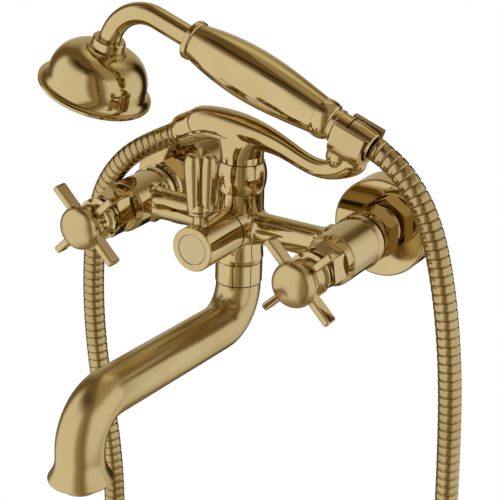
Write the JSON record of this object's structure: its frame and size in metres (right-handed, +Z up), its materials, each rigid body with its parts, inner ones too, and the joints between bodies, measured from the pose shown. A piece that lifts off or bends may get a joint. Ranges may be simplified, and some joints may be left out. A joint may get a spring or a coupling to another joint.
{
  "type": "wall mounted bath mixer",
  "caption": "Wall mounted bath mixer with cross handles, a diverter lever, a swivel spout and a hand shower resting in a cradle, on a flexible metal hose.",
  "frame": {"origin": "on the wall face, midway between the two inlet unions", "axes": "+Z up, -Y out of the wall towards the user, +X to the right as seen by the user"},
  "size_m": [0.3069, 0.26, 0.6103],
  "materials": {
    "polished_brass": "polished bronze-gold plating",
    "satin_brass": "satin bronze-gold plating",
    "hose_brass": "polished wound strip",
    "plain_brass": "machined, unplated",
    "steel": "plain screw steel",
    "rubber": "smooth black rubber",
    "ceramic": "lapped ceramic",
    "white_plastic": "moulded, satin",
    "dark_plastic": "moulded, satin"
  },
  "bodies": {
    "mixer": {"mixer_body": "polished_brass", "left_wall_union": "plain_brass", "left_inlet_washer": "rubber", "left_union_nut": "polished_brass", "left_flange": "polished_brass", "left_headwork": "polished_brass", "left_spindle_o_ring": "rubber", "left_seat_seal": "rubber", "left_fixed_disc": "ceramic", "right_wall_union": "plain_brass", "right_inlet_washer": "rubber", "right_union_nut": "polished_brass", "right_flange": "polished_brass", "right_headwork": "polished_brass", "right_spindle_o_ring": "rubber", "right_seat_seal": "rubber", "right_fixed_disc": "ceramic", "diverter_cartridge": "plain_brass", "spout_nut": "polished_brass", "riser_ring": "polished_brass"},
    "left_tap": {"left_handle": "polished_brass", "left_spindle": "plain_brass", "left_turning_disc": "ceramic", "left_handle_screw": "steel", "left_handle_cap": "polished_brass"},
    "right_tap": {"right_handle": "polished_brass", "right_spindle": "plain_brass", "right_turning_disc": "ceramic", "right_handle_screw": "steel", "right_handle_cap": "polished_brass"},
    "diverter": {"diverter_knob": "polished_brass", "diverter_lever": "polished_brass", "diverter_disc": "satin_brass", "diverter_screw": "steel", "diverter_spindle": "plain_brass"},
    "spout_arm": {"spout": "polished_brass", "spout_o_rings": "rubber", "aerator_housing": "polished_brass", "aerator_insert": "white_plastic", "aerator_gasket": "rubber"},
    "cradle_head": {"cradle": "polished_brass", "cradle_o_rings": "rubber", "left_hose_nut": "polished_brass", "left_hose_washer": "rubber", "shower_hose": "hose_brass"},
    "handset": {"handset_tail": "polished_brass", "handset_pipe": "white_plastic", "handset_grip": "polished_brass", "handset_ferrule": "polished_brass", "handset_neck": "polished_brass", "handset_bell": "polished_brass", "spray_plate": "dark_plastic", "spray_gasket": "rubber", "right_hose_nut": "polished_brass", "right_hose_washer": "rubber"}
  },
  "joints": [
    {"name": "left_tap_turn", "type": "hinge", "parent": "mixer", "child": "left_tap", "pos_m": [-0.075, -0.062, 0], "axis": [0, 1, 0], "range_deg": [0, 180]},
    {"name": "right_tap_turn", "type": "hinge", "parent": "mixer", "child": "right_tap", "pos_m": [0.075, -0.062, 0], "axis": [0, -1, 0], "range_deg": [0, 180]},
    {"name": "diverter_turn", "type": "hinge", "parent": "mixer", "child": "diverter", "pos_m": [0, -0.062, 0], "axis": [0, 1, 0], "range_deg": [0, 55]},
    {"name": "spout_swivel", "type": "hinge", "parent": "mixer", "child": "spout_arm", "pos_m": [0, -0.062, -0.03], "axis": [0, 0, 1], "range_deg": [-60, 60]},
    {"name": "cradle_swivel", "type": "hinge", "parent": "mixer", "child": "cradle_head", "pos_m": [0, -0.062, 0.03], "axis": [0, 0, 1], "range_deg": [-6, 10]},
    {"name": "handset_lift", "type": "slide", "parent": "cradle_head", "child": "handset", "axis": [0.3322, 0, 0.9432], "range_m": [0, 0.035]}
  ]
}
